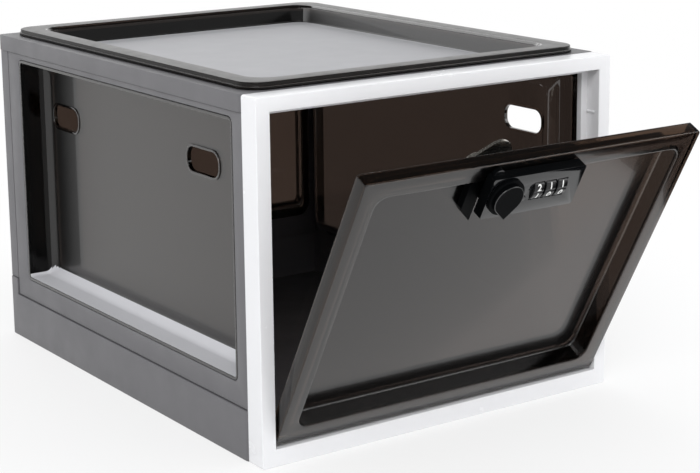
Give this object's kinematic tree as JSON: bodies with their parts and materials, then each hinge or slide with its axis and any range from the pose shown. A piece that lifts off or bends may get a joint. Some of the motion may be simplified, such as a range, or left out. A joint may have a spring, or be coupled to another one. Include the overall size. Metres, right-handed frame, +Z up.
{
  "type": "medication lock box",
  "caption": "Smoked see-through medicine box with a grey body, a white front frame and a drop-down door that carries a dial combination lock and a turn knob.",
  "frame": {"origin": "middle of the base tray's underside, where its ribs cross, on the surface that the box stands on", "axes": "+X to the right seen from the front, +Y to the back, +Z up; the door opens towards -Y"},
  "size_m": [0.25, 0.4109, 0.2093],
  "materials": {
    "white_shell": "smooth moulded gloss",
    "grey_shell": "fine satin",
    "smoked_plastic": "clear smoked, polished",
    "black_lock": "smooth black",
    "steel": "plated",
    "pad_rubber": "matte"
  },
  "bodies": {
    "box": {"base_tray": "grey_shell", "foot_pad_1": "pad_rubber", "foot_pad_2": "pad_rubber", "foot_pad_3": "pad_rubber", "foot_pad_4": "pad_rubber", "top_frame": "grey_shell", "top_lid": "smoked_plastic", "front_frame": "white_shell", "side_frame_left": "grey_shell", "side_panel_left": "smoked_plastic", "side_frame_right": "grey_shell", "side_panel_right": "smoked_plastic", "back_frame": "grey_shell", "back_panel": "smoked_plastic", "hinge_pin_left": "steel", "hinge_pin_right": "steel"},
    "door": {"door_panel": "smoked_plastic", "lock_body": "black_lock", "lock_cover": "black_lock", "finger_pull": "black_lock", "lock_screw_1": "steel", "lock_screw_2": "steel", "pull_screw": "steel", "dial_axle": "steel", "detent_spring": "steel"},
    "knob": {"turn_knob": "black_lock", "spindle": "steel", "latch_cam": "steel", "cam_nut": "steel"},
    "dial_left": {"dial_1": "black_lock"},
    "dial_middle": {"dial_2": "black_lock"},
    "dial_right": {"dial_3": "black_lock"},
    "button": {"reset_button": "black_lock"}
  },
  "joints": [
    {"name": "door_hinge", "type": "hinge", "parent": "box", "child": "door", "pos_m": [0, -0.1565, 0.0165], "axis": [1, 0, 0], "range_deg": [-28.5, 61.5]},
    {"name": "knob_turn", "type": "hinge", "parent": "door", "child": "knob", "pos_m": [-0.0252, -0.2338, 0.15887], "axis": [0, -0.8788, -0.4772], "range_deg": [0, 70]},
    {"name": "dial_1_turn", "type": "hinge", "parent": "door", "child": "dial_left", "pos_m": [-0.0032, -0.23621, 0.15722], "axis": [1, 0, 0], "continuous": true},
    {"name": "dial_2_turn", "type": "hinge", "parent": "door", "child": "dial_middle", "pos_m": [0.0049, -0.23621, 0.15722], "axis": [1, 0, 0], "continuous": true},
    {"name": "dial_3_turn", "type": "hinge", "parent": "door", "child": "dial_right", "pos_m": [0.013, -0.23621, 0.15722], "axis": [1, 0, 0], "continuous": true},
    {"name": "reset_press", "type": "slide", "parent": "door", "child": "button", "axis": [0, 0.8788, 0.4772], "range_m": [0, 0.0014], "stiffness_N_per_m": 300, "springref_m": -0.002}
  ]
}
